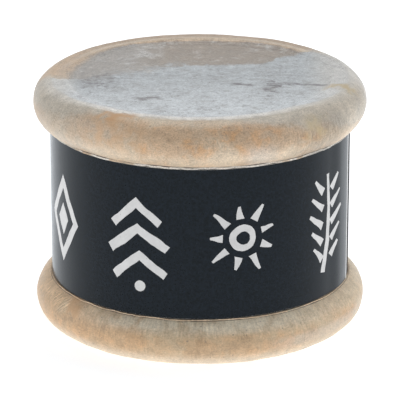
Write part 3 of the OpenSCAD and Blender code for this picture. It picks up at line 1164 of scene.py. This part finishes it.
def make_print(sizes, material):
    """Every motif is drawn flat with a hand-cut outline, sliced, given its film thickness and wrapped."""
    noise.seed_set(PRINT_SEED)
    pitch = 2 * math.pi * label_in_r / len(MOTIFS)
    whole = bmesh.new()
    for i, (motif, raised) in enumerate(MOTIFS):
        sheet = PrintSheet()
        motif(sheet)
        bm = sheet.bm
        tilt = Matrix.Rotation(math.radians(MOTIF_TILT * noise.noise(Vector((i * 2.7, 0.5, 0.0)))), 3, "Z")
        for v in bm.verts:
            flat = v.co.copy()
            for waves, level, far in HAND_CUT:
                flat += far * noise.noise_vector(Vector((v.co.x * waves + 9.0 * i, v.co.y * waves, level)))
            flat = tilt @ flat
            v.co = (flat.x * MM, flat.y * MM, 0.0)
        reach = max(abs(v.co.x) for v in bm.verts)
        cut_across(bm, 0, even_places(-reach, reach, AROUND_STEP))
        top = bmesh.ops.extrude_face_region(bm, geom=bm.faces[:])["geom"]
        bmesh.ops.translate(bm, vec=(0, 0, sizes.film_t + HAIR),
                            verts=[g for g in top if isinstance(g, bmesh.types.BMVert)])
        middle = pitch * (i + 0.5)
        for v in bm.verts:
            v.co = wrap(middle - v.co.x, LABEL_T - HAIR + v.co.z, middle_z + raised * MM + v.co.y)
        bmesh.ops.recalc_face_normals(bm, faces=bm.faces[:])
        part = bpy.data.meshes.new("motif")
        bm.to_mesh(part)
        bm.free()
        whole.from_mesh(part)
        bpy.data.meshes.remove(part)
    return add_object("label_motifs", whole, material)


class DRUM_OT_label(bpy.types.Operator):
    """Printed wrap round the tube, lapped over its own start"""

    bl_idname = "drum.label"
    bl_label = "Label"

    def execute(self, context):
        label = make_label(label_finish(), tab_finish())
        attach(label, "drum")
        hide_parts("label_wrap")
        return {"FINISHED"}


class DRUM_OT_motifs(bpy.types.Operator):
    """Off-white motifs printed on the label"""

    bl_idname = "drum.motifs"
    bl_label = "Printed Motifs"

    def execute(self, context):
        motifs = make_print(context.scene.drum_sizes, print_finish())
        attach(motifs, "drum")
        return {"FINISHED"}


# ---------------------------------------------------------------- carried-over nodes


class DRUM_OT_wood_and_seeds(bpy.types.Operator):
    """Finishes of the tube, the bead rings and the seeds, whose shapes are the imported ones"""

    bl_idname = "drum.wood_and_seeds"
    bl_label = "Wood And Seeds"

    def execute(self, context):
        colours = context.scene.drum_colours
        tube = wood_finish("tube_wood", colours.tube_light, colours.tube_dark, colours.tube_gap_shade)
        bead = wood_finish("bead_wood", colours.bead_light, colours.bead_dark)
        finishes = {
            "shell_tube": tube,
            "top_bead_ring": bead,
            "bottom_bead_ring": bead,
            "rattle_seeds": seed_finish(),
        }
        for node, material in finishes.items():
            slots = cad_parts[node].data.materials
            slots.clear()
            slots.append(material)
        return {"FINISHED"}


# ---------------------------------------------------------------- stage


# Light of the studio's walls on the drum. What the camera, a reflection or glass sees of them has strength 1.
WORLD_LIGHT = 0.44
FLOOR_COLOUR = (0.82, 0.83, 0.84)
# Colour and strength of the glow that the floor has for the same three
GLOW_COLOUR = (0.97, 1.0, 1.03)
FLOOR_GLOW = 0.55
FLOOR_HALF_SIDE = 3.0
# The floor lies a hair under the drum, whose lowest hide is level with the base
FLOOR_Z = -0.02 * MM
DRUM_MIDDLE = (0.0, 0.0, 0.03)
# Name, place, width and height, power in watts, seen in gloss
LAMPS = (
    ("top_box", (0.1, 0.5, 1.4), (1.4, 1.0), 9.0, True),
    ("left_box", (-1.3, -0.2, 0.5), (0.9, 0.9), 4.5, True),
    ("right_box", (1.3, 0.0, 0.5), (0.9, 0.9), 5.0, True),
    ("table_bounce", (0.0, 0.0, -0.3), (5.0, 5.0), 95.0, False),
)


def make_floor():
    """White paper that glows a little for what sees it, and keeps the drum's shadow."""
    bm = bmesh.new()
    bmesh.ops.create_grid(bm, x_segments=8, y_segments=8, size=FLOOR_HALF_SIDE)
    bmesh.ops.translate(bm, vec=(0.0, 0.0, FLOOR_Z), verts=bm.verts[:])
    s = Shader(bpy.data.materials.new("floor_paper"))
    paper = s.node("ShaderNodeBsdfDiffuse", {"Color": FLOOR_COLOUR})
    glow = s.node("ShaderNodeEmission", {"Color": GLOW_COLOUR, "Strength": s.seen() * FLOOR_GLOW})
    s.add("ShaderNodeOutputMaterial", {"Surface": s.node("ShaderNodeAddShader", {0: paper, 1: glow})})
    floor = add_object("floor", bm, s.owner)
    floor.visible_shadow = False
    floor.visible_diffuse = False


def make_world():
    world = bpy.data.worlds.new("studio")
    bpy.context.scene.world = world
    s = Shader(world)
    walls = s.node("ShaderNodeBackground", {"Strength": s.seen().step(0.0, 1.0, WORLD_LIGHT, 1.0)})
    s.add("ShaderNodeOutputWorld", {"Surface": walls})


def make_lamp(name, place, size, power, gloss):
    data = bpy.data.lights.new(name, "AREA")
    data.shape = "RECTANGLE"
    data.size, data.size_y = size
    data.energy = power
    lamp = bpy.data.objects.new(name, data)
    lamp.location = place
    lamp.rotation_euler = (Vector(DRUM_MIDDLE) - Vector(place)).to_track_quat("-Z", "Y").to_euler()
    lamp.visible_glossy = gloss
    bpy.context.scene.collection.objects.link(lamp)


class DRUM_OT_stage(bpy.types.Operator):
    """White floor, soft studio light and the camera"""

    bl_idname = "drum.stage"
    bl_label = "Stage"

    def execute(self, context):
        context.scene.view_settings.view_transform = "Standard"
        make_camera()
        make_world()
        make_floor()
        for lamp in LAMPS:
            make_lamp(*lamp)
        return {"FINISHED"}


# ---------------------------------------------------------------- add-on


class DRUM_PT_panel(bpy.types.Panel):
    """Lists the drum's pieces and their settings"""

    bl_idname = "DRUM_PT_panel"
    bl_label = "Drum Shaker"
    bl_space_type = "VIEW_3D"
    bl_region_type = "UI"
    bl_category = "Drum"

    def draw(self, context):
        for operator in OPERATORS:
            self.layout.operator(operator.bl_idname)
        for group in (context.scene.drum_sizes, context.scene.drum_colours):
            for name in group.__annotations__:
                self.layout.prop(group, name)


OPERATORS = (DRUM_OT_stage, DRUM_OT_heads, DRUM_OT_label, DRUM_OT_motifs, DRUM_OT_wood_and_seeds)
CLASSES = (DrumSizes, DrumColours, *OPERATORS, DRUM_PT_panel)


def register():
    for cls in CLASSES:
        bpy.utils.register_class(cls)
    bpy.types.Scene.drum_sizes = PointerProperty(type=DrumSizes)
    bpy.types.Scene.drum_colours = PointerProperty(type=DrumColours)


def unregister():
    del bpy.types.Scene.drum_colours
    del bpy.types.Scene.drum_sizes
    for cls in reversed(CLASSES):
        bpy.utils.unregister_class(cls)


# ---------------------------------------------------------------- image points, as made


# Edge points: the piece, the image axis that is measured, and the sign of the outward way
EDGES = {
    "left_edge": ("top_rawhide", 0, -1),
    "right_edge": ("top_rawhide", 0, 1),
    "top_edge": ("top_rawhide", 1, -1),
    "bottom_edge": ("bottom_rawhide", 1, 1),
    "lower_ring_left": ("bottom_rawhide", 0, -1),
    "label_left": ("label_film", 0, -1),
}
# Greatest distance, in pixels, from the level or the column of an image point of what counts as being at it
NEAR_POINT = 3.0
SIGHT_SLACK = 0.3 * MM


def in_view(trees, place):
    """Whether nothing stands between the camera and a place on a surface."""
    eye = bpy.context.scene.camera.matrix_world.translation
    gap = place - eye
    return all(tree.ray_cast(eye, gap.normalized(), gap.length - SIGHT_SLACK)[0] is None for tree in trees)


def middle_of(seen):
    """Middle of the image points of what shows, or None."""
    if not seen:
        return None
    return [(min(p[i] for p in seen) + max(p[i] for p in seen)) / 2 for i in (0, 1)]


def shown_places():
    """Where each named thing shows in the image, by the finished vertices that are in view."""
    pieces = {name: bpy.data.objects[name] for name in ("top_rawhide", "bottom_rawhide", "label_film")}
    trees = [BVHTree.FromObject(piece, bpy.context.evaluated_depsgraph_get()) for piece in pieces.values()]
    views = {name: [(image_of(v.co), v.co) for v in piece.data.vertices] for name, piece in pieces.items()}
    shown = {}
    for point, (piece, axis, sign) in EDGES.items():
        level = POINTS[point][1 - axis]
        near = [view for view in views[piece] if abs(view[0][1 - axis] - level) < NEAR_POINT]
        near.sort(key=lambda view: -sign * view[0][axis])
        shown[point] = next((seen for seen, place in near if in_view(trees, place)), None)
    for point, places in marked.items():
        shown[point] = middle_of([image_of(place) for place in places if in_view(trees, place)])
    core = pieces["label_film"].data.attributes["core"].data
    seam = [view for i, view in enumerate(views["label_film"]) if core[i].value > 0.5]
    seam = [view for view in seam if abs(view[0][0] - POINTS["seam"][0]) < NEAR_POINT]
    shown["seam"] = middle_of([seen for seen, place in seam if in_view(trees, place)])
    return shown


def write_points():
    """How far in x and y each named thing shows from its image point."""
    for name, seen in shown_places().items():
        x, y = POINTS[name]
        None if seen is None else [round(seen[0] - x, 2), round(seen[1] - y, 2)]


def write_sizes():
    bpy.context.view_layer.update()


def main():
    register()
    bpy.ops.drum.stage()
    bpy.ops.drum.heads()
    bpy.ops.drum.label()
    bpy.ops.drum.motifs()
    bpy.ops.drum.wood_and_seeds()
    write_sizes()
    write_points()


if __name__ == "__main__":
    main()
